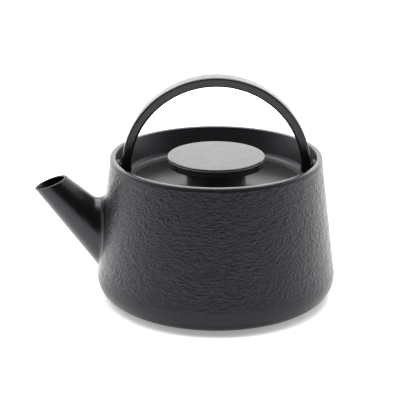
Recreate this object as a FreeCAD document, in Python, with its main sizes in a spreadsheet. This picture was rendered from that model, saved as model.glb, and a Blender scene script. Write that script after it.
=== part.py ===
import FreeCAD, Part
import math
import os
import Sketcher

# A cast-iron teapot. The origin is the centre of the flat base, +Z is up,
# the spout points to -X and the bail handle turns about an axis along X.

SIZES = {
    # pot casting
    "pot_height": 102.0,
    "base_corner_radius": 87.1,
    "base_rounding": 16.0,
    "rim_radius": 74.5,
    "rim_width": 3.9,
    "rim_rounding": 0.8,
    "pot_wall": 3.5,
    "pot_floor": 4.0,
    "collar_depth": 18.6,
    "collar_taper": 4.2,
    "collar_rounding": 5.0,
    "shelf_rounding": 3.0,
    "shelf_thickness": 6.0,
    "shelf_slope": 9.0,
    "cavity_rounding": 10.0,
    # lid and its seat
    "lid_handle_gap": 0.6,
    "lid_gap": 0.4,
    "lid_thickness": 3.6,
    "lid_rounding": 0.6,
    "lid_seat_width": 1.8,
    "skirt_depth": 5.0,
    "skirt_width": 2.5,
    "skirt_gap": 1.2,
    # knob and its screw
    "knob_radius": 34.1,
    "knob_thickness": 6.5,
    "knob_rounding": 0.7,
    "stem_radius": 21.0,
    "stem_wall": 3.5,
    "boss_radius": 6.0,
    "screw_radius": 2.5,
    "screw_grip": 9.0,
    "screw_head_radius": 4.75,
    "screw_head_thickness": 3.0,
    "screw_washer_radius": 6.0,
    "washer_thickness": 1.0,
    "slot_width": 1.2,
    "slot_depth": 1.0,
    "hole_gap": 0.3,
    # bail handle
    "handle_collar_gap": 0.1,
    "handle_floor_gap": 3.1,
    "handle_thickness": 6.7,
    "handle_width": 13.0,
    "handle_rounding": 1.5,
    "head_recess": 1.8,
    "foot_rounding": 6.2,
    # pivots
    "pin_radius": 2.5,
    "running_gap": 0.05,
    "side_gap": 0.3,
    "pivot_washer_radius": 3.6,
    "pivot_washer_thickness": 0.8,
    "lug_radius": 5.5,
    "lug_root": 2.6,
    "pin_root": 3.6,
    "pin_head_radius": 3.8,
    "pin_head_thickness": 1.2,
    "pin_slot_depth": 0.7,
    # spout
    "spout_height": 45.2,
    "spout_tilt": 44.5,
    "spout_length": 51.2,
    "spout_root_radius": 17.5,
    "spout_tip_radius": 11.0,
    "spout_root_wall": 3.3,
    "spout_tip_wall": 1.8,
    "mouth_tilt": 20.0,
    "mouth_rounding": 0.3,
    "spout_blend": 6.0,
    "spout_root_run": 24.0,
    "spout_tip_run": 15.0,
    # infuser
    "infuser_seat_gap": 0.4,
    "infuser_rim_width": 7.0,
    "infuser_rim_thickness": 0.8,
    "infuser_lid_gap": 0.2,
    "infuser_wall": 0.4,
    "infuser_depth": 48.0,
    "infuser_taper": 3.0,
    "infuser_mouth_gap": 1.2,
}

# Heights and radii that follow from the sizes above.
DERIVED = {
    "ledge_height": "pot_height - collar_depth",
    "rim_inner_radius": "rim_radius - rim_width",
    "collar_foot_radius": "rim_inner_radius - collar_taper",
    "handle_radius": "collar_foot_radius - handle_collar_gap",
    "handle_inner_radius": "handle_radius - handle_thickness",
    "lid_radius": "handle_inner_radius - lid_handle_gap",
    "lid_seat_height": "ledge_height - lid_thickness",
    "lid_recess_radius": "lid_radius + lid_gap",
    "infuser_recess_radius": "lid_radius - lid_seat_width",
    "infuser_seat_height": "lid_seat_height - infuser_rim_thickness - infuser_lid_gap",
    "infuser_rim_radius": "infuser_recess_radius - infuser_seat_gap",
    "infuser_rim_top": "infuser_seat_height + infuser_rim_thickness",
    "infuser_outer_radius": "infuser_rim_radius - infuser_rim_width",
    "infuser_inner_radius": "infuser_outer_radius - infuser_wall",
    "infuser_foot_radius": "infuser_outer_radius - infuser_taper",
    "infuser_foot_inner_radius": "infuser_foot_radius - infuser_wall",
    "infuser_floor_height": "infuser_seat_height - infuser_depth",
    "infuser_bottom": "infuser_floor_height - infuser_wall",
    "mouth_radius": "infuser_outer_radius + infuser_mouth_gap",
    "shelf_bottom": "infuser_seat_height - shelf_thickness",
    "wall_slope": "(base_corner_radius - rim_radius) / pot_height",
    "cavity_top": "shelf_bottom - shelf_slope",
    "cavity_top_radius": "base_corner_radius - wall_slope * cavity_top - pot_wall",
    "cavity_floor_radius": "base_corner_radius - wall_slope * pot_floor - pot_wall",
    "skirt_radius": "infuser_inner_radius - skirt_gap",
    "skirt_inner_radius": "skirt_radius - skirt_width",
    "skirt_bottom": "lid_seat_height - skirt_depth",
    "stem_inner_radius": "stem_radius - stem_wall",
    "screw_hole_radius": "screw_radius + hole_gap",
    "knob_underside": "pot_height - knob_thickness",
    "pilot_top": "ledge_height + screw_grip",
    "screw_washer_bottom": "lid_seat_height - washer_thickness",
    "screw_head_bottom": "screw_washer_bottom - screw_head_thickness",
    "pivot_depth": "collar_depth - handle_width / 2 - handle_floor_gap",
    "pivot_height": "pot_height - pivot_depth",
    "recess_floor": "handle_inner_radius + head_recess",
    "leg_bottom": "pivot_height - handle_width / 2",
    "head_recess_radius": "pin_head_radius + side_gap",
    "head_recess_span": "2 * recess_floor",
    "handle_bore_span": "2 * handle_radius + 2",
    "pivot_washer_inner": "handle_radius + side_gap",
    "lug_face": "pivot_washer_inner + pivot_washer_thickness",
    "pivot_wall_radius": "rim_inner_radius - collar_taper * pivot_depth / collar_depth",
    "lug_depth": "pivot_wall_radius + lug_root - lug_face",
    "pin_end": "pivot_wall_radius + pin_root",
    "pin_grip": "pin_end - lug_face",
    "pin_hole_radius": "pin_radius + hole_gap",
    "pivot_hole_radius": "pin_radius + running_gap",
    "pin_shoulder": "recess_floor - side_gap",
    "pin_head_face": "pin_shoulder - pin_head_thickness",
    "spout_root_x": "base_corner_radius - wall_slope * spout_height",
    "spout_flare": "(spout_root_radius - spout_tip_radius) / spout_length",
    "bore_root_radius": "spout_root_radius - spout_root_wall",
    "bore_flare": "(bore_root_radius - spout_tip_radius + spout_tip_wall) / spout_length",
}

doc = FreeCAD.newDocument("teapot")
sheet = doc.addObject("Spreadsheet::Sheet", "Sizes")


def fill_sheet():
    """Write every driving size and every size that follows from them."""
    row = 0
    for table, prefix in ((SIZES, ""), (DERIVED, "=")):
        for alias, value in table.items():
            row += 1
            sheet.set(f"A{row}", alias)
            sheet.set(f"B{row}", f"{prefix}{value}")
            sheet.setAlias(f"B{row}", alias)
    doc.recompute()


fill_sheet()


def value(name):
    """A size from the sheet; 0 stands for the axis or the base."""
    return float(getattr(sheet, name)) if name else 0.0


def bind(item, **expressions):
    """Tie properties of an object to sizes; an underscore stands for the dot in a property's path."""
    for path, expression in expressions.items():
        item.setExpression(path.replace("_", "."), expression)


def new_sketch(body, role, name):
    """A sketch on one of the body's own origin planes."""
    sketch = body.newObject("Sketcher::SketchObject", name)
    plane = next(item for item in body.Origin.OriginFeatures if item.Role == role)
    sketch.AttachmentSupport = [(plane, "")]
    sketch.MapMode = "FlatFace"
    return sketch


def hold(sketch, kind, *places, name):
    """Add a constraint whose value is a size from the sheet."""
    index = sketch.addConstraint(Sketcher.Constraint(kind, *places, value(name)))
    sketch.setExpression(f"Constraints[{index}]", f"Sizes.{name}")


def draw_outline(sketch, corners):
    """Draw a closed outline from (across, up) pairs of size names."""
    count = len(corners)
    spots = [FreeCAD.Vector(value(across), value(up), 0) for across, up in corners]
    for index in range(count):
        sketch.addGeometry(Part.LineSegment(spots[index], spots[(index + 1) % count]), False)
    for line, (across, up) in enumerate(corners):
        sketch.addConstraint(Sketcher.Constraint("Coincident", (line - 1) % count, 2, line, 1))
        if across:
            hold(sketch, "DistanceX", -1, 1, line, 1, name=across)
        else:
            sketch.addConstraint(Sketcher.Constraint("PointOnObject", line, 1, -2))
        if up:
            hold(sketch, "DistanceY", -1, 1, line, 1, name=up)
        else:
            sketch.addConstraint(Sketcher.Constraint("PointOnObject", line, 1, -1))


def ring_edges(shape, rings):
    """Names of the circular edges at the given (radius, height) pairs of size names."""
    found = []
    for number, edge in enumerate(shape.Edges, 1):
        if not isinstance(edge.Curve, Part.Circle):
            continue
        for radius, height in rings:
            same_radius = abs(edge.Curve.Radius - value(radius)) < 1e-4
            same_height = abs(edge.Curve.Center.z - value(height)) < 1e-4
            if same_radius and same_height:
                found.append(f"Edge{number}")
    return found


def round_edges(body, base, edges, size_name):
    """Round some edges of a body's feature."""
    fillet = body.newObject("PartDesign::Fillet", f"{base.Name}_{size_name}")
    fillet.Base = (base, edges)
    fillet.setExpression("Radius", f"Sizes.{size_name}")
    doc.recompute()
    return fillet


def turned(name, corners, roundings=()):
    """A body turned about Z from an outline, with its listed rings rounded."""
    body = doc.addObject("PartDesign::Body", name)
    sketch = new_sketch(body, "XZ_Plane", f"{name}_outline")
    draw_outline(sketch, corners)
    feature = body.newObject("PartDesign::Revolution", f"{name}_turn")
    feature.Profile = sketch
    feature.ReferenceAxis = (sketch, ["V_Axis"])
    feature.Angle = 360
    doc.recompute()
    for size_name, rings in roundings:
        feature = round_edges(body, feature, ring_edges(feature.Shape, rings), size_name)
    return body


def cylinder(name, radius, height):
    """A cylinder with its radius and height tied to the sheet."""
    item = doc.addObject("Part::Cylinder", name)
    bind(item, Radius=radius, Height=height)
    return item


def cut(name, base, tool):
    """Take one solid away from another."""
    item = doc.addObject("Part::Cut", name)
    item.Base = base
    item.Tool = tool
    return item


def fuse(name, shapes):
    """Join solids."""
    item = doc.addObject("Part::MultiFuse", name)
    item.Shapes = shapes
    return item


def lay_along_x(item, side, distance="0"):
    """Lay an object's own Z along +X or -X on the handle's pivot axis."""
    item.Placement.Rotation = FreeCAD.Rotation(FreeCAD.Vector(0, side, 0), 90)
    bind(item, Placement_Base_x=f"{side} * ({distance})", Placement_Base_z="Sizes.pivot_height")


def lean_as_spout(item, run):
    """Turn an object's own Z along the spout and put it a run outwards from the pot's wall."""
    item.Placement.Rotation = FreeCAD.Rotation(FreeCAD.Vector(0, -1, 0), 45)
    bind(
        item,
        Placement_Rotation_Angle="Sizes.spout_tilt * 1 deg",
        Placement_Base_x=f"-Sizes.spout_root_x - ({run}) * sin(Sizes.spout_tilt * 1 deg)",
        Placement_Base_z=f"Sizes.spout_height + ({run}) * cos(Sizes.spout_tilt * 1 deg)",
    )


def spout_cone(name, root_radius, flare):
    """A tapered rod along the spout, from inside the pot to beyond the mouth."""
    cone = doc.addObject("Part::Cone", name)
    bind(
        cone,
        Radius1=f"Sizes.{root_radius} + Sizes.{flare} * Sizes.spout_root_run",
        Radius2=f"Sizes.{root_radius} - Sizes.{flare} * (Sizes.spout_length + Sizes.spout_tip_run)",
        Height="Sizes.spout_root_run + Sizes.spout_length + Sizes.spout_tip_run",
    )
    lean_as_spout(cone, "-Sizes.spout_root_run")
    return cone


def make_pot_form():
    """The outer form of the pot, solid."""
    corners = [
        (0, 0),
        ("base_corner_radius", 0),
        ("rim_radius", "pot_height"),
        (0, "pot_height"),
    ]
    return turned("pot_form", corners, [("base_rounding", [("base_corner_radius", 0)])])


def make_pot_body(spout_bore):
    """The pot: a flat-based shell with a funnel-shaped collar, a stepped seat and two pivot lugs."""
    corners = [
        (0, 0),
        ("base_corner_radius", 0),
        ("rim_radius", "pot_height"),
        ("rim_inner_radius", "pot_height"),
        ("collar_foot_radius", "ledge_height"),
        ("lid_recess_radius", "ledge_height"),
        ("lid_recess_radius", "lid_seat_height"),
        ("infuser_recess_radius", "lid_seat_height"),
        ("infuser_recess_radius", "infuser_seat_height"),
        ("mouth_radius", "infuser_seat_height"),
        ("mouth_radius", "shelf_bottom"),
        ("cavity_top_radius", "cavity_top"),
        ("cavity_floor_radius", "pot_floor"),
        (0, "pot_floor"),
    ]
    roundings = [
        ("base_rounding", [("base_corner_radius", 0)]),
        ("cavity_rounding", [("cavity_floor_radius", "pot_floor")]),
        ("collar_rounding", [("collar_foot_radius", "ledge_height")]),
        ("shelf_rounding", [("cavity_top_radius", "cavity_top")]),
        ("rim_rounding", [("rim_radius", "pot_height"), ("rim_inner_radius", "pot_height")]),
    ]
    shell = turned("pot_shell", corners, roundings)
    lugs = []
    holes = [spout_bore]
    for side, end in ((-1, "left"), (1, "right")):
        lug = cylinder(f"lug_{end}", "Sizes.lug_radius", "Sizes.lug_depth")
        lay_along_x(lug, side, "Sizes.lug_face")
        lugs.append(lug)
        hole = cylinder(f"lug_hole_{end}", "Sizes.pin_radius", "Sizes.pin_grip")
        lay_along_x(hole, side, "Sizes.lug_face")
        holes.append(hole)
    casting = fuse("pot_casting", [shell] + lugs)
    return cut("pot_body", casting, fuse("pot_holes", holes))


def mouth_edges(shape, centre, normal):
    """Numbers of the edges that lie in the plane of the spout's mouth."""
    found = []
    for number, edge in enumerate(shape.Edges, 1):
        spots = edge.discretize(5)
        if all(abs((spot - centre).dot(normal)) < 1e-3 for spot in spots):
            found.append(number)
    return found


def make_spout(pot_form, spout_bore):
    """The spout: a tapered tube blended into the pot's wall and cut to a slanting mouth."""
    joined = fuse("spout_on_pot", [pot_form, spout_cone("spout_rod", "spout_root_radius", "spout_flare")])
    doc.recompute()
    blend = doc.addObject("Part::Fillet", "spout_blend")
    blend.Base = joined
    radius = value("spout_blend")
    seam = [
        number for number, edge in enumerate(joined.Shape.Edges, 1)
        if isinstance(edge.Curve, Part.BSplineCurve)
    ]
    blend.Edges = [(number, radius, radius) for number in seam]
    rod = cut("spout_outside", blend, pot_form)
    beyond = cylinder("beyond_mouth", "3 * Sizes.spout_root_radius", "3 * Sizes.spout_root_radius")
    lean_as_spout(beyond, "Sizes.spout_length")
    beyond.setExpression("Placement.Rotation.Angle", "Sizes.mouth_tilt * 1 deg")
    tube = cut("spout_tube", rod, fuse("spout_waste", [spout_bore, beyond]))
    doc.recompute()
    normal = beyond.Placement.Rotation.multVec(FreeCAD.Vector(0, 0, 1))
    rounded = doc.addObject("Part::Fillet", "spout")
    rounded.Base = tube
    lip = value("mouth_rounding")
    edges = mouth_edges(tube.Shape, beyond.Placement.Base, normal)
    rounded.Edges = [(number, lip, lip) for number in edges]
    return rounded


def make_lid():
    """The lid: a flat disc with a skirt that drops into the infuser."""
    corners = [
        ("screw_hole_radius", "ledge_height"),
        ("lid_radius", "ledge_height"),
        ("lid_radius", "lid_seat_height"),
        ("skirt_radius", "lid_seat_height"),
        ("skirt_radius", "skirt_bottom"),
        ("skirt_inner_radius", "skirt_bottom"),
        ("skirt_inner_radius", "lid_seat_height"),
        ("screw_hole_radius", "lid_seat_height"),
    ]
    return turned("lid", corners, [("lid_rounding", [("lid_radius", "ledge_height")])])


def make_knob():
    """The knob: a wide disc on a hollow stem, with a boss for its screw."""
    corners = [
        (0, "pot_height"),
        ("knob_radius", "pot_height"),
        ("knob_radius", "knob_underside"),
        ("stem_radius", "knob_underside"),
        ("stem_radius", "ledge_height"),
        ("stem_inner_radius", "ledge_height"),
        ("stem_inner_radius", "knob_underside"),
        ("boss_radius", "knob_underside"),
        ("boss_radius", "ledge_height"),
        ("screw_radius", "ledge_height"),
        ("screw_radius", "pilot_top"),
        (0, "pilot_top"),
    ]
    rings = [("knob_radius", "pot_height"), ("knob_radius", "knob_underside")]
    return turned("knob", corners, [("knob_rounding", rings)])


def slotted(name, screw, head_radius, head_face, depth):
    """Cut a driving slot up into the head of a screw that stands on its head."""
    slot = doc.addObject("Part::Box", f"{name}_slot")
    bind(
        slot,
        Length=f"2 * Sizes.{head_radius}",
        Width="Sizes.slot_width",
        Height=f"Sizes.{depth}",
        Placement_Base_x=f"-Sizes.{head_radius}",
        Placement_Base_y="-Sizes.slot_width / 2",
        Placement_Base_z=f"Sizes.{head_face}",
    )
    return cut(name, screw, slot)


def make_knob_screw():
    """The screw that holds the knob from below the lid."""
    corners = [
        (0, "screw_head_bottom"),
        ("screw_head_radius", "screw_head_bottom"),
        ("screw_head_radius", "screw_washer_bottom"),
        ("screw_radius", "screw_washer_bottom"),
        ("screw_radius", "pilot_top"),
        (0, "pilot_top"),
    ]
    screw = turned("knob_screw_blank", corners)
    return slotted("knob_screw", screw, "screw_head_radius", "screw_head_bottom", "slot_depth")


def make_ring(name, inner, outer, bottom, top):
    """A flat ring."""
    return turned(name, [(inner, bottom), (outer, bottom), (outer, top), (inner, top)])


def make_pivot_pin(end, side):
    """A shouldered pin whose flat head faces inwards and whose end is fixed in the lug."""
    corners = [
        (0, "pin_head_face"),
        ("pin_head_radius", "pin_head_face"),
        ("pin_head_radius", "pin_shoulder"),
        ("pin_radius", "pin_shoulder"),
        ("pin_radius", "pin_end"),
        (0, "pin_end"),
    ]
    blank = turned(f"pivot_pin_blank_{end}", corners)
    pin = slotted(f"pivot_pin_{end}", blank, "pin_head_radius", "pin_head_face", "pin_slot_depth")
    lay_along_x(pin, side)
    return pin


def make_pivot_washer(end, side):
    """The washer between a handle leg and its lug."""
    name = f"pivot_washer_{end}"
    washer = make_ring(name, "pin_hole_radius", "pivot_washer_radius", "pivot_washer_inner", "lug_face")
    lay_along_x(washer, side)
    return washer


def draw_bail(sketch):
    """Draw the bail's side view: a half ring with short straight legs."""
    centre = FreeCAD.Vector(0, value("pivot_height"), 0)
    up = FreeCAD.Vector(0, 0, 1)
    for radius in ("handle_radius", "handle_inner_radius"):
        circle = Part.Circle(centre, up, value(radius))
        sketch.addGeometry(Part.ArcOfCircle(circle, 0, math.pi), False)
    spots = []
    for side in (-1, 1):
        outer = FreeCAD.Vector(side * value("handle_radius"), value("pivot_height"), 0)
        inner = FreeCAD.Vector(side * value("handle_inner_radius"), value("pivot_height"), 0)
        drop = FreeCAD.Vector(0, value("leg_bottom") - value("pivot_height"), 0)
        spots.append((outer, outer + drop, inner + drop, inner))
    for corners in spots:
        for start, end in zip(corners, corners[1:]):
            sketch.addGeometry(Part.LineSegment(start, end), False)
    rule = Sketcher.Constraint
    sketch.addConstraint(rule("PointOnObject", 0, 3, -2))
    sketch.addConstraint(rule("Coincident", 0, 3, 1, 3))
    hold(sketch, "DistanceY", -1, 1, 0, 3, name="pivot_height")
    hold(sketch, "Radius", 0, name="handle_radius")
    hold(sketch, "Radius", 1, name="handle_inner_radius")
    for arc in (0, 1):
        sketch.addConstraint(rule("Horizontal", arc, 1, arc, 3))
        sketch.addConstraint(rule("Horizontal", arc, 2, arc, 3))
    for first, arc_end in ((2, 2), (5, 1)):
        sketch.addConstraint(rule("Coincident", 0, arc_end, first, 1))
        sketch.addConstraint(rule("Coincident", first, 2, first + 1, 1))
        sketch.addConstraint(rule("Coincident", first + 1, 2, first + 2, 1))
        sketch.addConstraint(rule("Coincident", first + 2, 2, 1, arc_end))
        sketch.addConstraint(rule("Vertical", first))
        sketch.addConstraint(rule("Horizontal", first + 1))
        sketch.addConstraint(rule("Vertical", first + 2))
        hold(sketch, "DistanceY", -1, 1, first, 2, name="leg_bottom")


def foot_edges(shape):
    """The four edges across the leg ends, which run along X."""
    found = []
    for number, edge in enumerate(shape.Edges, 1):
        middle = edge.CenterOfMass
        at_foot = abs(middle.z - value("leg_bottom")) < 1e-4
        if at_foot and abs(abs(middle.y) - value("handle_width") / 2) < 1e-4:
            found.append(f"Edge{number}")
    return found


def arch_edges(shape):
    """The four long edges of the arch; the legs' edges follow from them by tangency."""
    found = []
    for number, edge in enumerate(shape.Edges, 1):
        if isinstance(edge.Curve, Part.Circle) and edge.Curve.Radius > value("handle_width"):
            found.append(f"Edge{number}")
    return found


def drill_legs(body, name, radius, span):
    """Cut a round hole along the pivot axis, centred between the legs and as long as its span."""
    view = new_sketch(body, "YZ_Plane", f"{name}_view")
    centre = FreeCAD.Vector(0, value("pivot_height"), 0)
    view.addGeometry(Part.Circle(centre, FreeCAD.Vector(0, 0, 1), value(radius)), False)
    view.addConstraint(Sketcher.Constraint("PointOnObject", 0, 3, -2))
    hold(view, "DistanceY", -1, 1, 0, 3, name="pivot_height")
    hold(view, "Radius", 0, name=radius)
    pocket = body.newObject("PartDesign::Pocket", name)
    pocket.Profile = view
    pocket.Midplane = True
    pocket.setExpression("Length", f"Sizes.{span}")
    doc.recompute()


def make_handle():
    """The bail: a flat strap bent to a half circle, its legs drilled and recessed for the pins."""
    body = doc.addObject("PartDesign::Body", "handle")
    side_view = new_sketch(body, "XZ_Plane", "bail_side_view")
    draw_bail(side_view)
    strap = body.newObject("PartDesign::Pad", "bail_strap")
    strap.Profile = side_view
    strap.Midplane = True
    strap.setExpression("Length", "Sizes.handle_width")
    doc.recompute()
    strap = round_edges(body, strap, foot_edges(strap.Shape), "foot_rounding")
    strap = round_edges(body, strap, arch_edges(strap.Shape), "handle_rounding")
    drill_legs(body, "pivot_bore", "pivot_hole_radius", "handle_bore_span")
    drill_legs(body, "pin_head_recess", "head_recess_radius", "head_recess_span")
    return body


def make_infuser():
    """The infuser: a flat rim on a slightly tapered wall, closed by a base."""
    rim = make_ring(
        "infuser_rim", "infuser_inner_radius", "infuser_rim_radius", "infuser_seat_height", "infuser_rim_top"
    )
    wall = turned(
        "infuser_wall",
        [
            ("infuser_inner_radius", "infuser_seat_height"),
            ("infuser_foot_inner_radius", "infuser_floor_height"),
            ("infuser_foot_radius", "infuser_floor_height"),
            ("infuser_outer_radius", "infuser_seat_height"),
        ],
    )
    base = turned(
        "infuser_base",
        [
            (0, "infuser_bottom"),
            ("infuser_foot_radius", "infuser_bottom"),
            ("infuser_foot_radius", "infuser_floor_height"),
            (0, "infuser_floor_height"),
        ],
    )
    return [rim, wall, base]


def make_pieces():
    """Every piece of the teapot."""
    pot_form = make_pot_form()
    spout_bore = spout_cone("spout_bore", "bore_root_radius", "bore_flare")
    pieces = [make_pot_body(spout_bore), make_spout(pot_form, spout_bore), make_handle()]
    for end, side in (("left", -1), ("right", 1)):
        pieces += [make_pivot_pin(end, side), make_pivot_washer(end, side)]
    pieces += [make_lid(), make_knob(), make_knob_screw()]
    washer = make_ring(
        "knob_washer", "screw_hole_radius", "screw_washer_radius", "screw_washer_bottom", "lid_seat_height"
    )
    return pieces + [washer] + make_infuser()


def check_and_write(pieces):
    """Stop on any failed object or shape, then write each piece to its own file."""
    doc.recompute()
    for item in doc.Objects:
        if "Invalid" in item.State or "Error" in item.State:
            raise RuntimeError(f"{item.Name} failed: {item.State}")
    os.makedirs("parts", exist_ok=True)
    for piece in pieces:
        piece.Label = piece.Name
        if piece.Shape.isNull() or not piece.Shape.isValid():
            raise RuntimeError(f"{piece.Name} has no valid shape")
        if len(piece.Shape.Solids) != 1:
            raise RuntimeError(f"{piece.Name} is {len(piece.Shape.Solids)} solids")
    for piece in pieces:
        piece.Shape.exportStep(f"parts/{piece.Label}.step")
        print(f"{piece.Label}: {piece.Shape.Volume / 1000:.2f} cubic cm")


check_and_write(make_pieces())
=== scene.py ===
import math
import bpy
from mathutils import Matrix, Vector


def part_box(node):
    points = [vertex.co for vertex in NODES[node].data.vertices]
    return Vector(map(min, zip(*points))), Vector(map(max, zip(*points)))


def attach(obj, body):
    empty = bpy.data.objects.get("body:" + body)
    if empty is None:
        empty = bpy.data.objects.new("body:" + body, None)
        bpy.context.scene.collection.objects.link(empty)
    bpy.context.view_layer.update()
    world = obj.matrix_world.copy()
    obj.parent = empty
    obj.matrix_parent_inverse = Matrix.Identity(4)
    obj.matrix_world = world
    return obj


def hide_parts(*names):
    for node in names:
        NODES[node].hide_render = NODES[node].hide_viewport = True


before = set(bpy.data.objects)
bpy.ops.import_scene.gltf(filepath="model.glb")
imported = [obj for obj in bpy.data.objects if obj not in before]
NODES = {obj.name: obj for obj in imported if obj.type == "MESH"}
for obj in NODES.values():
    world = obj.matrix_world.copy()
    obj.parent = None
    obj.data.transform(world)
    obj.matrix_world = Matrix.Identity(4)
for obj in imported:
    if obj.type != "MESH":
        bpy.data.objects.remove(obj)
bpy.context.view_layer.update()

MM = 0.001

# Places taken from the frame
RIM_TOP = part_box("pot_body")[1].z
LEDGE_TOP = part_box("lid")[1].z
LID_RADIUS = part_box("lid")[1].x
LID_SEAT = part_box("knob_washer")[1].z
INFUSER_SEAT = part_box("infuser_rim")[0].z
INFUSER_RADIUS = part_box("infuser_rim")[1].x
SIEVE_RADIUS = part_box("infuser_wall")[1].x
SIEVE_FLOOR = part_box("infuser_wall")[0].z
SIEVE_FOOT_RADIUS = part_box("infuser_base")[1].x
KNOB_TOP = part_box("knob")[1].z
PIVOT_HEIGHT = (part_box("pivot_washer_right")[0].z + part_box("pivot_washer_right")[1].z) / 2
LUG_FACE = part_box("pivot_washer_right")[1].x

# The pot's own sizes
FOOT_RADIUS = 87.1 * MM
FOOT_ROUNDING = 16.0 * MM
RIM_RADIUS = 74.5 * MM
RIM_WIDTH = 3.9 * MM
RIM_ROUNDING = 0.8 * MM
COLLAR_TAPER = 4.2 * MM
COLLAR_ROUNDING = 5.0 * MM
WALL = 3.5 * MM
FLOOR = 4.0 * MM
SHELF_ROUNDING = 3.0 * MM
CAVITY_ROUNDING = 10.0 * MM
LUG_RADIUS = 5.5 * MM
LID_GAP = 0.2 * MM
INFUSER_GAP = 0.4 * MM
MOUTH_GAP = 1.2 * MM
SHELF_DEPTH = 6.0 * MM
SHELF_SLOPE = 9.0 * MM
MOUTH_RADIUS = SIEVE_RADIUS + MOUTH_GAP
SHELF_BOTTOM = INFUSER_SEAT - SHELF_DEPTH
CAVITY_TOP = SHELF_BOTTOM - SHELF_SLOPE

# The groove under the rim, and how finely the casting is divided
GROOVE_DEPTH = 0.35 * MM
GROOVE_DROPS = (2.0 * MM, 1.6 * MM, 1.2 * MM)
WALL_ROWS = 104
TURNS = 432

# The wrinkles' names, sizes and depths, and how much they are flattened
WRINKLES = (("broad_wrinkles", 7.0 * MM, 0.2 * MM), ("fine_wrinkles", 4.0 * MM, 0.2 * MM))
WRINKLE_FLATNESS = 0.5

# The spout's line, where it leaves the wall
SPOUT_HEIGHT = 45.2 * MM
SPOUT_TILT = math.radians(44.5)
BORE_ROOT = 14.2 * MM
BORE_TIP = 9.2 * MM
SPOUT_LENGTH = 51.2 * MM
MOUTH_TILT = math.radians(20)

# The infuser's pierced sheet
SHEET = 0.4 * MM
SIEVE_AROUND, SIEVE_ROWS = 90, 18
SIEVE_BORDER = 0.8 * MM
PLAIN_FOOT, PLAIN_TOP = 4 * MM, 7 * MM
BASE_AROUND, BASE_RINGS = 40, 10
BASE_SHRINK = 0.855
BASE_BORDER = 0.7 * MM

# Colours and the tint of the spout's and the knob's finishes
SPOUT_BLACK, SPOUT_TINT = (0.003, 0.0029, 0.0033, 1), (0.95, 0.91, 1.0, 1)
# The stem's colour is much paler than the knob's: painted light that lifts the stem where the disc shades
# it.
KNOB_BLACK, STEM_PAINTED_LIGHT_GREY = (0.02, 0.02, 0.0215, 1), (0.1, 0.1, 0.102, 1)
# Pale grey for a painted highlight: a thin line all round the knob just below its top edge.
PAINTED_HIGHLIGHT_GREY = (0.34, 0.34, 0.34, 1)


# ---------------------------------------------------------------- shaping

def choose(piece, wanted, kind="VERT"):
    """Select, in edit mode, only the points or faces that pass a test."""
    bpy.ops.mesh.select_mode(type=kind)
    bpy.ops.mesh.select_all(action="DESELECT")
    bpy.ops.object.mode_set(mode="OBJECT")
    if kind == "VERT":
        for point in piece.data.vertices:
            point.select = wanted(point.co)
    else:
        for face in piece.data.polygons:
            face.select = wanted(face)
    bpy.ops.object.mode_set(mode="EDIT")


def begin_line(name, start):
    """A new piece, in edit mode, that holds one point."""
    bpy.ops.object.select_all(action="DESELECT")
    bpy.ops.mesh.primitive_plane_add(size=MM)
    piece = bpy.context.object
    piece.name = name
    bpy.ops.object.mode_set(mode="EDIT")
    bpy.ops.mesh.select_mode(type="VERT")
    bpy.ops.mesh.select_all(action="SELECT")
    bpy.ops.mesh.merge(type="CENTER")
    bpy.ops.transform.translate(value=start)
    return piece


def draw_section(name, corners):
    """Draw half of a turned piece's section from (radius, height) corners."""
    spots = [Vector((radius, 0, height)) for radius, height in corners]
    piece = begin_line(name, spots[0])
    for here, there in zip(spots, spots[1:]):
        bpy.ops.mesh.extrude_region_move(TRANSFORM_OT_translate={"value": there - here})
    return piece


def round_corner(piece, corners, index, radius, segments=6):
    """Round one corner of a drawn section."""
    count = len(corners)
    spot = Vector(corners[index])
    before = Vector(corners[index - 1]) - spot
    after = Vector(corners[(index + 1) % count]) - spot
    reach = radius / math.tan(before.angle(after) / 2)
    place = Vector((spot.x, 0, spot.y))
    choose(piece, lambda point: (point - place).length < MM / 100)
    bpy.ops.mesh.bevel(offset=reach, segments=segments, affect="VERTICES")


def split_run(piece, wanted, cuts):
    """Divide the drawn edge whose two ends pass a test."""
    choose(piece, wanted)
    bpy.ops.mesh.subdivide(number_cuts=cuts)


def spin_round(steps):
    """Spin the drawn section round the upright axis and close it."""
    bpy.ops.mesh.select_all(action="SELECT")
    bpy.ops.mesh.spin(steps=steps, angle=math.tau, center=(0, 0, 0), axis=(0, 0, 1))
    close_shell()


def close_shell():
    """Merge what lies in one place and turn all faces outwards."""
    bpy.ops.mesh.select_all(action="SELECT")
    bpy.ops.mesh.remove_doubles(threshold=MM / 100)
    bpy.ops.mesh.normals_make_consistent(inside=False)


def leave(piece, angle=30.0):
    """Back to object mode, at the origin and smooth but for its sharp edges."""
    bpy.ops.object.mode_set(mode="OBJECT")
    bpy.ops.object.select_all(action="DESELECT")
    piece.select_set(True)
    bpy.context.view_layer.objects.active = piece
    bpy.ops.object.transform_apply(location=True, rotation=True, scale=True)
    bpy.ops.object.shade_smooth_by_angle(angle=math.radians(angle))


def apply_all(piece):
    """Apply a piece's modifiers in order."""
    bpy.context.view_layer.objects.active = piece
    for modifier in list(piece.modifiers):
        bpy.ops.object.modifier_apply(modifier=modifier.name)


def take_away(piece, tool):
    """Cut a tool out of a piece and drop the tool."""
    cutting = piece.modifiers.new("opening", "BOOLEAN")
    cutting.operation = "DIFFERENCE"
    cutting.solver = "EXACT"
    cutting.object = tool
    apply_all(piece)
    bpy.data.objects.remove(tool)


# ---------------------------------------------------------------- the pot

def wall_radius(height):
    """The outer wall's radius at a height."""
    return FOOT_RADIUS + (RIM_RADIUS - FOOT_RADIUS) * height / RIM_TOP


def fade(number, low, high):
    """0 below low, 1 above high, and a soft rise between them."""
    share = min(1.0, max(0.0, (number - low) / (high - low)))
    return share * share * (3 - 2 * share)


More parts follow.
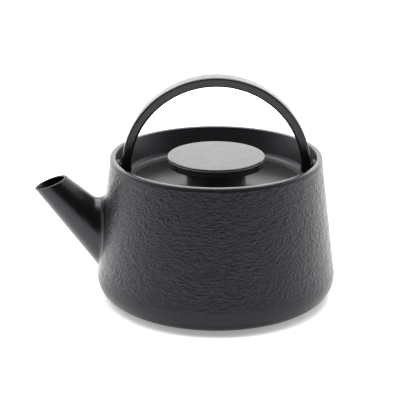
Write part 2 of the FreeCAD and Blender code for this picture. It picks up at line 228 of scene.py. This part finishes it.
def grain_share(point):
    """How strongly the casting is wrinkled at a point: only on the outer wall, not at rim, foot or spout."""
    if math.hypot(point.x, point.y) < wall_radius(point.z) - MM:
        return 0.0
    share = fade(point.z, 12 * MM, 24 * MM) * (1 - fade(point.z, RIM_TOP - 4 * MM, RIM_TOP - 2.2 * MM))
    if point.x < 0:
        spread = math.hypot(point.y / (25 * MM), (point.z - SPOUT_HEIGHT) / (32 * MM))
        share *= fade(spread, 1.0, 1.25)
    return share


def wrinkle_wall(piece):
    """Press soft wrinkles into the wall as real relief, deepest at mid height."""
    group = piece.vertex_groups.new(name="grain")
    for point in piece.data.vertices:
        share = grain_share(point.co)
        if share > 0:
            group.add([point.index], share, "REPLACE")
    flattened = bpy.data.objects.new("wrinkle_frame", None)
    flattened.scale = (1, 1, WRINKLE_FLATNESS)
    bpy.context.scene.collection.objects.link(flattened)
    bpy.context.view_layer.update()
    for name, size, depth in WRINKLES:
        texture = bpy.data.textures.new(name, "CLOUDS")
        texture.noise_scale = size
        texture.noise_depth = 1
        press = piece.modifiers.new(name, "DISPLACE")
        press.texture = texture
        press.texture_coords = "OBJECT"
        press.texture_coords_object = flattened
        press.direction = "NORMAL"
        press.vertex_group = "grain"
        press.mid_level = 1.0
        press.strength = depth
    apply_all(piece)
    piece.vertex_groups.clear()
    bpy.data.objects.remove(flattened)


def mark_grain(piece):
    """Note the grain's share at each point for the enamel to read."""
    notes = piece.data.attributes.new("grain_share", "FLOAT", "POINT")
    for point, note in zip(piece.data.vertices, notes.data):
        note.value = grain_share(point.co)


def spout_bore():
    """The bore through the wall, along the spout's line."""
    inside, outside = 24 * MM, 20 * MM
    flare = (BORE_ROOT - BORE_TIP) / SPOUT_LENGTH
    length = inside + outside
    along = Vector((-math.sin(SPOUT_TILT), 0, math.cos(SPOUT_TILT)))
    root = Vector((-wall_radius(SPOUT_HEIGHT), 0, SPOUT_HEIGHT))
    bpy.ops.object.select_all(action="DESELECT")
    bpy.ops.mesh.primitive_cone_add(
        vertices=96,
        radius1=BORE_ROOT + flare * inside,
        radius2=BORE_ROOT - flare * (length - inside),
        depth=length,
        location=root + along * (length / 2 - inside),
        rotation=(0, -SPOUT_TILT, 0),
    )
    return bpy.context.object


def make_pot():
    """The pot's casting: foot, wrinkled wall, rim, funnel collar, stepped seat and cavity."""
    rim_inner = RIM_RADIUS - RIM_WIDTH
    groove_low, groove, groove_high = (RIM_TOP - drop for drop in GROOVE_DROPS)
    corners = [
        (0, 0),
        (FOOT_RADIUS, 0),
        (wall_radius(groove_low), groove_low),
        (wall_radius(groove) - GROOVE_DEPTH, groove),
        (wall_radius(groove_high), groove_high),
        (RIM_RADIUS, RIM_TOP),
        (rim_inner, RIM_TOP),
        (rim_inner - COLLAR_TAPER, LEDGE_TOP),
        (LID_RADIUS + LID_GAP, LEDGE_TOP),
        (LID_RADIUS + LID_GAP, LID_SEAT),
        (INFUSER_RADIUS + INFUSER_GAP, LID_SEAT),
        (INFUSER_RADIUS + INFUSER_GAP, INFUSER_SEAT),
        (MOUTH_RADIUS, INFUSER_SEAT),
        (MOUTH_RADIUS, SHELF_BOTTOM),
        (wall_radius(CAVITY_TOP) - WALL, CAVITY_TOP),
        (wall_radius(FLOOR) - WALL, FLOOR),
        (0, FLOOR),
    ]
    pot = draw_section("pot_casting", corners)
    round_corner(pot, corners, 1, FOOT_ROUNDING, 16)
    round_corner(pot, corners, 5, RIM_ROUNDING, 4)
    round_corner(pot, corners, 6, RIM_ROUNDING, 4)
    round_corner(pot, corners, 7, COLLAR_ROUNDING, 8)
    round_corner(pot, corners, 14, SHELF_ROUNDING, 4)
    round_corner(pot, corners, 15, CAVITY_ROUNDING, 8)
    split_run(pot, lambda point: on_wall_line(point) and point.z < groove_low + MM / 10, WALL_ROWS)
    spin_round(TURNS)
    leave(pot, 40)
    wrinkle_wall(pot)
    take_away(pot, spout_bore())
    mark_grain(pot)
    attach(pot, "pot")
    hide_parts("pot_body")
    return pot


def on_wall_line(point):
    """Whether a drawn point lies on the straight outer wall."""
    return abs(point.x - wall_radius(point.z)) < MM / 100 and point.z > MM


def make_lug(side, end):
    """A round boss on the collar's wall, with a raised face for the handle's washer."""
    depth = RIM_RADIUS - RIM_WIDTH / 2 - LUG_FACE
    bpy.ops.object.select_all(action="DESELECT")
    bpy.ops.mesh.primitive_cylinder_add(
        vertices=72,
        radius=LUG_RADIUS,
        depth=depth,
        location=(side * (LUG_FACE + depth / 2), 0, PIVOT_HEIGHT),
        rotation=(0, side * math.pi / 2, 0),
    )
    lug = bpy.context.object
    lug.name = f"pivot_lug_{end}"
    bpy.ops.object.transform_apply(location=True, rotation=True, scale=True)
    bpy.ops.object.mode_set(mode="EDIT")
    choose(lug, lambda face: face.normal.x * side < -0.9, "FACE")
    bpy.ops.mesh.bevel(offset=0.5 * MM, segments=3, affect="EDGES")
    leave(lug)
    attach(lug, "pot")
    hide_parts("pot_body")
    return lug


# ---------------------------------------------------------------- the infuser

def pierce(piece, wanted, border, direction):
    """Open a rounded hole in each chosen face of a sheet and give the sheet its thickness."""
    choose(piece, wanted, "FACE")
    bpy.ops.mesh.inset(thickness=border, use_individual=True)
    bpy.ops.mesh.delete(type="FACE")
    bpy.ops.object.mode_set(mode="OBJECT")
    soften = piece.modifiers.new("round_holes", "SUBSURF")
    soften.levels = soften.render_levels = 1
    soften.boundary_smooth = "ALL"
    thicken = piece.modifiers.new("sheet", "SOLIDIFY")
    thicken.thickness = SHEET
    thicken.offset = direction
    apply_all(piece)


def make_sieve():
    """The infuser's perforated wall."""
    height = INFUSER_SEAT - SIEVE_FLOOR
    bpy.ops.object.select_all(action="DESELECT")
    bpy.ops.mesh.primitive_cone_add(
        vertices=SIEVE_AROUND,
        radius1=SIEVE_FOOT_RADIUS,
        radius2=SIEVE_RADIUS,
        depth=height,
        end_fill_type="NOTHING",
        location=(0, 0, SIEVE_FLOOR + height / 2),
    )
    sieve = bpy.context.object
    sieve.name = "infuser_sieve"
    bpy.ops.object.transform_apply(location=True, rotation=True, scale=True)
    bpy.ops.object.mode_set(mode="EDIT")
    bpy.ops.mesh.select_mode(type="EDGE")
    bpy.ops.mesh.select_all(action="DESELECT")
    bpy.ops.object.mode_set(mode="OBJECT")
    for edge in sieve.data.edges:
        ends = [sieve.data.vertices[index].co.z for index in edge.vertices]
        edge.select = abs(ends[0] - ends[1]) > height / 2
    bpy.ops.object.mode_set(mode="EDIT")
    bpy.ops.mesh.subdivide(number_cuts=SIEVE_ROWS - 1)
    low, high = SIEVE_FLOOR + PLAIN_FOOT, INFUSER_SEAT - PLAIN_TOP
    pierce(sieve, lambda face: low < face.center.z < high, SIEVE_BORDER, -1)
    leave(sieve, 40)
    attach(sieve, "infuser")
    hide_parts("infuser_wall")
    return sieve


def make_sieve_base():
    """The infuser's perforated base, its holes in rings that grow outwards."""
    bpy.ops.object.select_all(action="DESELECT")
    bpy.ops.mesh.primitive_circle_add(
        vertices=BASE_AROUND, radius=SIEVE_FOOT_RADIUS, location=(0, 0, SIEVE_FLOOR), fill_type="NOTHING"
    )
    base = bpy.context.object
    base.name = "infuser_sieve_base"
    bpy.ops.object.transform_apply(location=True, rotation=True, scale=True)
    bpy.ops.object.mode_set(mode="EDIT")
    bpy.ops.mesh.select_all(action="SELECT")
    for _ in range(BASE_RINGS):
        bpy.ops.mesh.extrude_edges_move()
        bpy.ops.transform.resize(value=(BASE_SHRINK, BASE_SHRINK, 1), center_override=(0, 0, SIEVE_FLOOR))
    bpy.ops.mesh.edge_face_add()
    outer = SIEVE_FOOT_RADIUS * BASE_SHRINK
    inner = SIEVE_FOOT_RADIUS * BASE_SHRINK ** (BASE_RINGS - 1)
    pierce(base, lambda face: inner < face.center.xy.length < outer, BASE_BORDER, 1)
    leave(base, 40)
    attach(base, "infuser")
    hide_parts("infuser_base")
    return base


# ---------------------------------------------------------------- materials

class Nodes:
    """A material's node tree with short calls for the nodes used here."""

    def __init__(self, name):
        self.material = bpy.data.materials.new(name)
        self.material.use_nodes = True
        self.tree = self.material.node_tree
        self.shader = self.tree.nodes["Principled BSDF"]
        self.place = self.add("ShaderNodeTexCoord").outputs["Object"]

    def add(self, kind, **settings):
        """Add a node and set its own properties."""
        node = self.tree.nodes.new(kind)
        for key, setting in settings.items():
            setattr(node, key, setting)
        return node

    def feed(self, socket, source):
        """Give a socket a number, a colour or another node's output."""
        if isinstance(source, bpy.types.NodeSocket):
            self.tree.links.new(source, socket)
        else:
            socket.default_value = source

    def math(self, operation, first, second=0.0, clamp=False):
        """A math node's result."""
        node = self.add("ShaderNodeMath", operation=operation, use_clamp=clamp)
        self.feed(node.inputs[0], first)
        self.feed(node.inputs[1], second)
        return node.outputs[0]

    def stretched(self, scale, vector=None):
        """Object coordinates scaled along each axis."""
        node = self.add("ShaderNodeVectorMath", operation="MULTIPLY")
        self.feed(node.inputs[0], vector or self.place)
        node.inputs[1].default_value = scale
        return node.outputs[0]

    def warped(self, vector, amount, scale):
        """A vector pushed about by a soft noise."""
        noise = self.add("ShaderNodeTexNoise")
        self.feed(noise.inputs["Vector"], vector)
        noise.inputs["Scale"].default_value = scale
        noise.inputs["Detail"].default_value = 2.0
        centred = self.add("ShaderNodeVectorMath", operation="SUBTRACT")
        self.feed(centred.inputs[0], noise.outputs["Color"])
        centred.inputs[1].default_value = (0.5, 0.5, 0.5)
        push = self.add("ShaderNodeVectorMath", operation="SCALE")
        self.feed(push.inputs[0], centred.outputs[0])
        push.inputs["Scale"].default_value = amount
        total = self.add("ShaderNodeVectorMath", operation="ADD")
        self.feed(total.inputs[0], vector)
        self.feed(total.inputs[1], push.outputs[0])
        return total.outputs[0]

    def noise(self, vector, scale, detail=3.0, roughness=0.5):
        """A noise pattern's value."""
        node = self.add("ShaderNodeTexNoise")
        self.feed(node.inputs["Vector"], vector)
        node.inputs["Scale"].default_value = scale
        node.inputs["Detail"].default_value = detail
        node.inputs["Roughness"].default_value = roughness
        return node.outputs["Fac"]

    def ranged(self, source, low, high, to_low=0.0, to_high=1.0, soft=True):
        """Map a range of values onto another one."""
        node = self.add("ShaderNodeMapRange")
        node.interpolation_type = "SMOOTHSTEP" if soft else "LINEAR"
        self.feed(node.inputs["Value"], source)
        node.inputs["From Min"].default_value = low
        node.inputs["From Max"].default_value = high
        node.inputs["To Min"].default_value = to_low
        node.inputs["To Max"].default_value = to_high
        return node.outputs["Result"]

    def height(self):
        """The height above the base, in metres."""
        node = self.add("ShaderNodeSeparateXYZ")
        self.feed(node.inputs[0], self.place)
        return node.outputs["Z"]

    def mixed(self, factor, first, second):
        """A mix of two colours."""
        node = self.add("ShaderNodeMix", data_type="RGBA")
        self.feed(node.inputs["Factor"], factor)
        self.feed(node.inputs["A"], first)
        self.feed(node.inputs["B"], second)
        return node.outputs["Result"]

    def bump(self, height, distance, strength=1.0, under=None):
        """A bump's normal, laid over another one."""
        node = self.add("ShaderNodeBump")
        node.inputs["Strength"].default_value = strength
        node.inputs["Distance"].default_value = distance
        self.feed(node.inputs["Height"], height)
        if under:
            self.feed(node.inputs["Normal"], under)
        return node.outputs["Normal"]


def smooth_enamel(name, colour, roughness, peel=0.00003, uneven=0.04, tint=(1, 1, 1, 1), reflect=0.5):
    """Smooth black enamel over cast iron: a fine orange peel and a faintly uneven gloss."""
    made = Nodes(name)
    made.shader.inputs["Specular IOR Level"].default_value = reflect
    made.shader.inputs["Specular Tint"].default_value = tint
    patches = made.noise(made.place, 90.0, 4.0, 0.6)
    paler = tuple(part * 1.35 for part in colour[:3]) + (1,)
    made.feed(made.shader.inputs["Base Color"], made.mixed(patches, colour, paler))
    rough = made.ranged(made.noise(made.place, 260.0, 3.0), 0.3, 0.7, roughness - uneven, roughness + uneven)
    made.feed(made.shader.inputs["Roughness"], rough)
    made.feed(made.shader.inputs["Normal"], made.bump(made.noise(made.place, 800.0, 2.0), peel))
    return made


def spout_enamel(name):
    """The spout's enamel: smooth and glossy, ground matt on the mouth's level lip."""
    made = smooth_enamel(name, SPOUT_BLACK, 0.24, 0.000015, 0.02, SPOUT_TINT, 0.38)
    facing = Vector((-math.sin(MOUTH_TILT), 0, math.cos(MOUTH_TILT)))
    lip = max(point.co.dot(facing) for point in NODES["spout"].data.vertices)
    along = made.add("ShaderNodeVectorMath", operation="DOT_PRODUCT")
    made.feed(along.inputs[0], made.place)
    along.inputs[1].default_value = facing
    ground = made.ranged(along.outputs["Value"], lip - 0.25 * MM, lip - 0.1 * MM, 0.0, 0.4)
    gloss = made.shader.inputs["Roughness"].links[0].from_socket
    made.feed(made.shader.inputs["Roughness"], made.math("ADD", gloss, ground))
    return made.material


def knob_enamel(name):
    """The knob's enamel: satin on its top, glossy round its side, a painted highlight as a fine pale line
    below the edge, and painted light that makes the stem paler where the disc shades it.
    """
    edge_gloss = 0.13
    made = Nodes(name)
    # Below the disc the stem takes a paler colour: painted light where the disc shades it.
    disc = made.ranged(made.height(), KNOB_TOP - 12 * MM, KNOB_TOP - 8 * MM)
    black = made.mixed(disc, STEM_PAINTED_LIGHT_GREY, KNOB_BLACK)
    # A painted highlight: a thin pale grey band just under the knob's top edge, all round.
    line_top = made.ranged(made.height(), KNOB_TOP - 1.2 * MM, KNOB_TOP - 1.0 * MM, 1.0, 0.0)
    line_foot = made.ranged(made.height(), KNOB_TOP - 1.9 * MM, KNOB_TOP - 1.6 * MM)
    rubbed = made.math("MULTIPLY", line_foot, line_top)
    made.feed(made.shader.inputs["Base Color"], made.mixed(rubbed, black, PAINTED_HIGHLIGHT_GREY))
    top = made.ranged(made.height(), KNOB_TOP - 0.08 * MM, KNOB_TOP - 0.01 * MM)
    mottle = made.ranged(made.noise(made.place, 130.0, 4.0, 0.6), 0.3, 0.7, 0.33, 0.38)
    gloss = made.math("MULTIPLY", top, made.math("SUBTRACT", mottle, edge_gloss))
    made.feed(made.shader.inputs["Roughness"], made.math("ADD", gloss, edge_gloss))
    fine = made.noise(made.place, 700.0, 3.0)
    made.feed(made.shader.inputs["Normal"], made.bump(fine, 0.00002))
    return made.material


def blackened_steel(name):
    """Turned steel with a black oxide finish, a little rubbed."""
    made = Nodes(name)
    made.shader.inputs["Metallic"].default_value = 1.0
    rub = made.noise(made.place, 500.0, 4.0, 0.7)
    oxide, bare = (0.012, 0.012, 0.013, 1), (0.04, 0.039, 0.038, 1)
    made.feed(made.shader.inputs["Base Color"], made.mixed(rub, oxide, bare))
    made.feed(made.shader.inputs["Roughness"], made.ranged(rub, 0.3, 0.7, 0.45, 0.6))
    return made.material


def cast_enamel(name):
    """Matt black enamel over a wrinkled casting: short wavy creases, mostly level, on the wall alone."""
    made = Nodes(name)
    grain = made.add("ShaderNodeAttribute", attribute_name="grain_share").outputs["Fac"]
    patches = made.noise(made.place, 55.0, 4.0, 0.6)
    deep, pale = (0.0085, 0.008, 0.0095, 1), (0.0125, 0.0118, 0.0135, 1)
    made.feed(made.shader.inputs["Base Color"], made.mixed(patches, deep, pale))
    wavy = made.warped(made.stretched((1.0, 1.0, 1.9)), 0.0025, 190.0)
    folds = made.noise(wavy, 205.0, 2.0, 0.5)
    crease = made.math("ABSOLUTE", made.math("SUBTRACT", folds, 0.5))
    ridge = made.ranged(crease, 0.0, 0.16, 0.0, 1.0)
    relief = made.math("MULTIPLY", ridge, grain)
    made.shader.inputs["Specular IOR Level"].default_value = 0.235
    made.shader.inputs["Specular Tint"].default_value = (0.93, 0.88, 1.0, 1)
    peel = made.noise(made.place, 900.0, 2.0)
    fine = made.bump(peel, 0.00003)
    made.feed(made.shader.inputs["Normal"], made.bump(relief, 0.00028, 1.0, fine))
    rough = made.ranged(made.noise(made.place, 200.0, 3.0), 0.3, 0.7, 0.28, 0.36)
    worn = made.ranged(made.height(), RIM_TOP - 1.5 * MM, RIM_TOP - 0.2 * MM, 0.0, 0.14)
    made.feed(made.shader.inputs["Roughness"], made.math("SUBTRACT", rough, worn))
    return made.material


def brushed_steel(name):
    """Stainless steel, brushed round its axis."""
    made = Nodes(name)
    made.shader.inputs["Metallic"].default_value = 1.0
    made.feed(made.shader.inputs["Base Color"], (0.62, 0.61, 0.6, 1))
    lines = made.noise(made.stretched((40.0, 40.0, 1500.0)), 1.0, 2.0)
    made.feed(made.shader.inputs["Roughness"], made.ranged(lines, 0.3, 0.7, 0.22, 0.38))
    made.feed(made.shader.inputs["Normal"], made.bump(lines, 0.00002))
    return made.material


def give(node, material):
    """Give a CAD node one material."""
    mesh = NODES[node].data
    mesh.materials.clear()
    mesh.materials.append(material)


def finish_nodes():
    """Each CAD node's finish."""
    give("spout", spout_enamel("spout_enamel"))
    strap_black, strap_tint = (0.0075, 0.0073, 0.008, 1), (0.97, 0.94, 1.0, 1)
    strap = smooth_enamel("handle_enamel", strap_black, 0.26, 0.00001, 0.03, strap_tint, 0.42)
    give("handle", strap.material)
    lid_black = (0.0045, 0.0048, 0.0047, 1)
    give("lid", smooth_enamel("lid_enamel", lid_black, 0.24, 0.00002, 0.02, reflect=0.18).material)
    give("knob", knob_enamel("knob_enamel"))
    steel = brushed_steel("brushed_stainless")
    for node in ("knob_screw", "knob_washer", "infuser_rim", "infuser_wall", "infuser_base"):
        give(node, steel)
    blackened = blackened_steel("blackened_steel")
    for end in ("left", "right"):
        give(f"pivot_pin_{end}", blackened)
        give(f"pivot_washer_{end}", blackened)


def dress(piece, material):
    """Give a modelled piece its one material."""
    piece.data.materials.clear()
    piece.data.materials.append(material)


def finish_pieces(pot, lugs, sieves):
    """The modelled pieces' finishes."""
    dress(pot, cast_enamel("pot_enamel"))
    for lug in lugs:
        dress(lug, smooth_enamel("lug_enamel", (0.008, 0.0078, 0.0085, 1), 0.45, reflect=0.25).material)
    for sieve in sieves:
        dress(sieve, brushed_steel("sieve_stainless"))


# ---------------------------------------------------------------- studio

def make_floor():
    """A plain pale floor that glows a little, so that it stays white round the foot."""
    bpy.ops.object.select_all(action="DESELECT")
    bpy.ops.mesh.primitive_plane_add(size=12.0, location=(0, 0, 0))
    floor = bpy.context.object
    floor.name = "floor"
    made = Nodes("pale_floor")
    made.feed(made.shader.inputs["Base Color"], (0.93, 0.93, 0.93, 1))
    made.feed(made.shader.inputs["Roughness"], 0.9)
    made.feed(made.shader.inputs["Emission Color"], (1, 1, 1, 1))
    made.feed(made.shader.inputs["Emission Strength"], 0.3)
    floor.data.materials.append(made.material)


def world_ramp(tree, source, low, high, to_low, to_high):
    """A soft ramp in the surround's node tree."""
    ramp = tree.nodes.new("ShaderNodeMapRange")
    ramp.interpolation_type = "SMOOTHSTEP"
    tree.links.new(source, ramp.inputs["Value"])
    for name, number in (("From Min", low), ("From Max", high), ("To Min", to_low), ("To Max", to_high)):
        ramp.inputs[name].default_value = number
    return ramp.outputs["Result"]


def make_world():
    """A bright surround behind and at the sides, darker overhead and where the viewer stands."""
    world = bpy.data.worlds.new("surround")
    world.use_nodes = True
    bpy.context.scene.world = world
    tree = world.node_tree
    background = tree.nodes["Background"]
    way = tree.nodes.new("ShaderNodeTexCoord")
    split = tree.nodes.new("ShaderNodeSeparateXYZ")
    tree.links.new(way.outputs["Generated"], split.inputs[0])
    backwards = world_ramp(tree, split.outputs["Y"], -0.75, 0.45, 0.05, 2.9)
    upwards = world_ramp(tree, split.outputs["Z"], 0.35, 0.85, 1.0, 0.25)
    both = tree.nodes.new("ShaderNodeMath")
    both.operation = "MULTIPLY"
    tree.links.new(backwards, both.inputs[0])
    tree.links.new(upwards, both.inputs[1])
    tree.links.new(both.outputs[0], background.inputs["Strength"])
    background.inputs["Color"].default_value = (1, 1, 1, 1)


def add_soft_light(name, place, target, width, depth, power):
    """A rectangular softbox that points at a target."""
    lamp = bpy.data.lights.new(name, "AREA")
    lamp.shape = "RECTANGLE"
    lamp.size = width
    lamp.size_y = depth
    lamp.energy = power
    item = bpy.data.objects.new(name, lamp)
    item.location = place
    item.rotation_euler = (Vector(target) - Vector(place)).to_track_quat("-Z", "Y").to_euler()
    bpy.context.scene.collection.objects.link(item)


def make_camera():
    """A long lens, a little above the object."""
    place = (-0.01135, -1.00426, 0.41707)
    downward = 19.131
    lens = bpy.data.cameras.new("camera")
    lens.lens = 135.0
    lens.sensor_width = 36.0
    camera = bpy.data.objects.new("camera", lens)
    camera.location = place
    camera.rotation_euler = (math.radians(90.0 - downward), 0, 0)
    bpy.context.scene.collection.objects.link(camera)
    bpy.context.scene.camera = camera


pot = make_pot()
lugs = [make_lug(-1, "left"), make_lug(1, "right")]
sieves = [make_sieve(), make_sieve_base()]
finish_nodes()
finish_pieces(pot, lugs, sieves)
make_floor()
make_world()
add_soft_light("overhead", (-0.1, 0.25, 0.85), (-0.1, 0.25, 0.0), 1.2, 1.0, 23.0)
make_camera()
bpy.context.scene.view_settings.view_transform = "Standard"
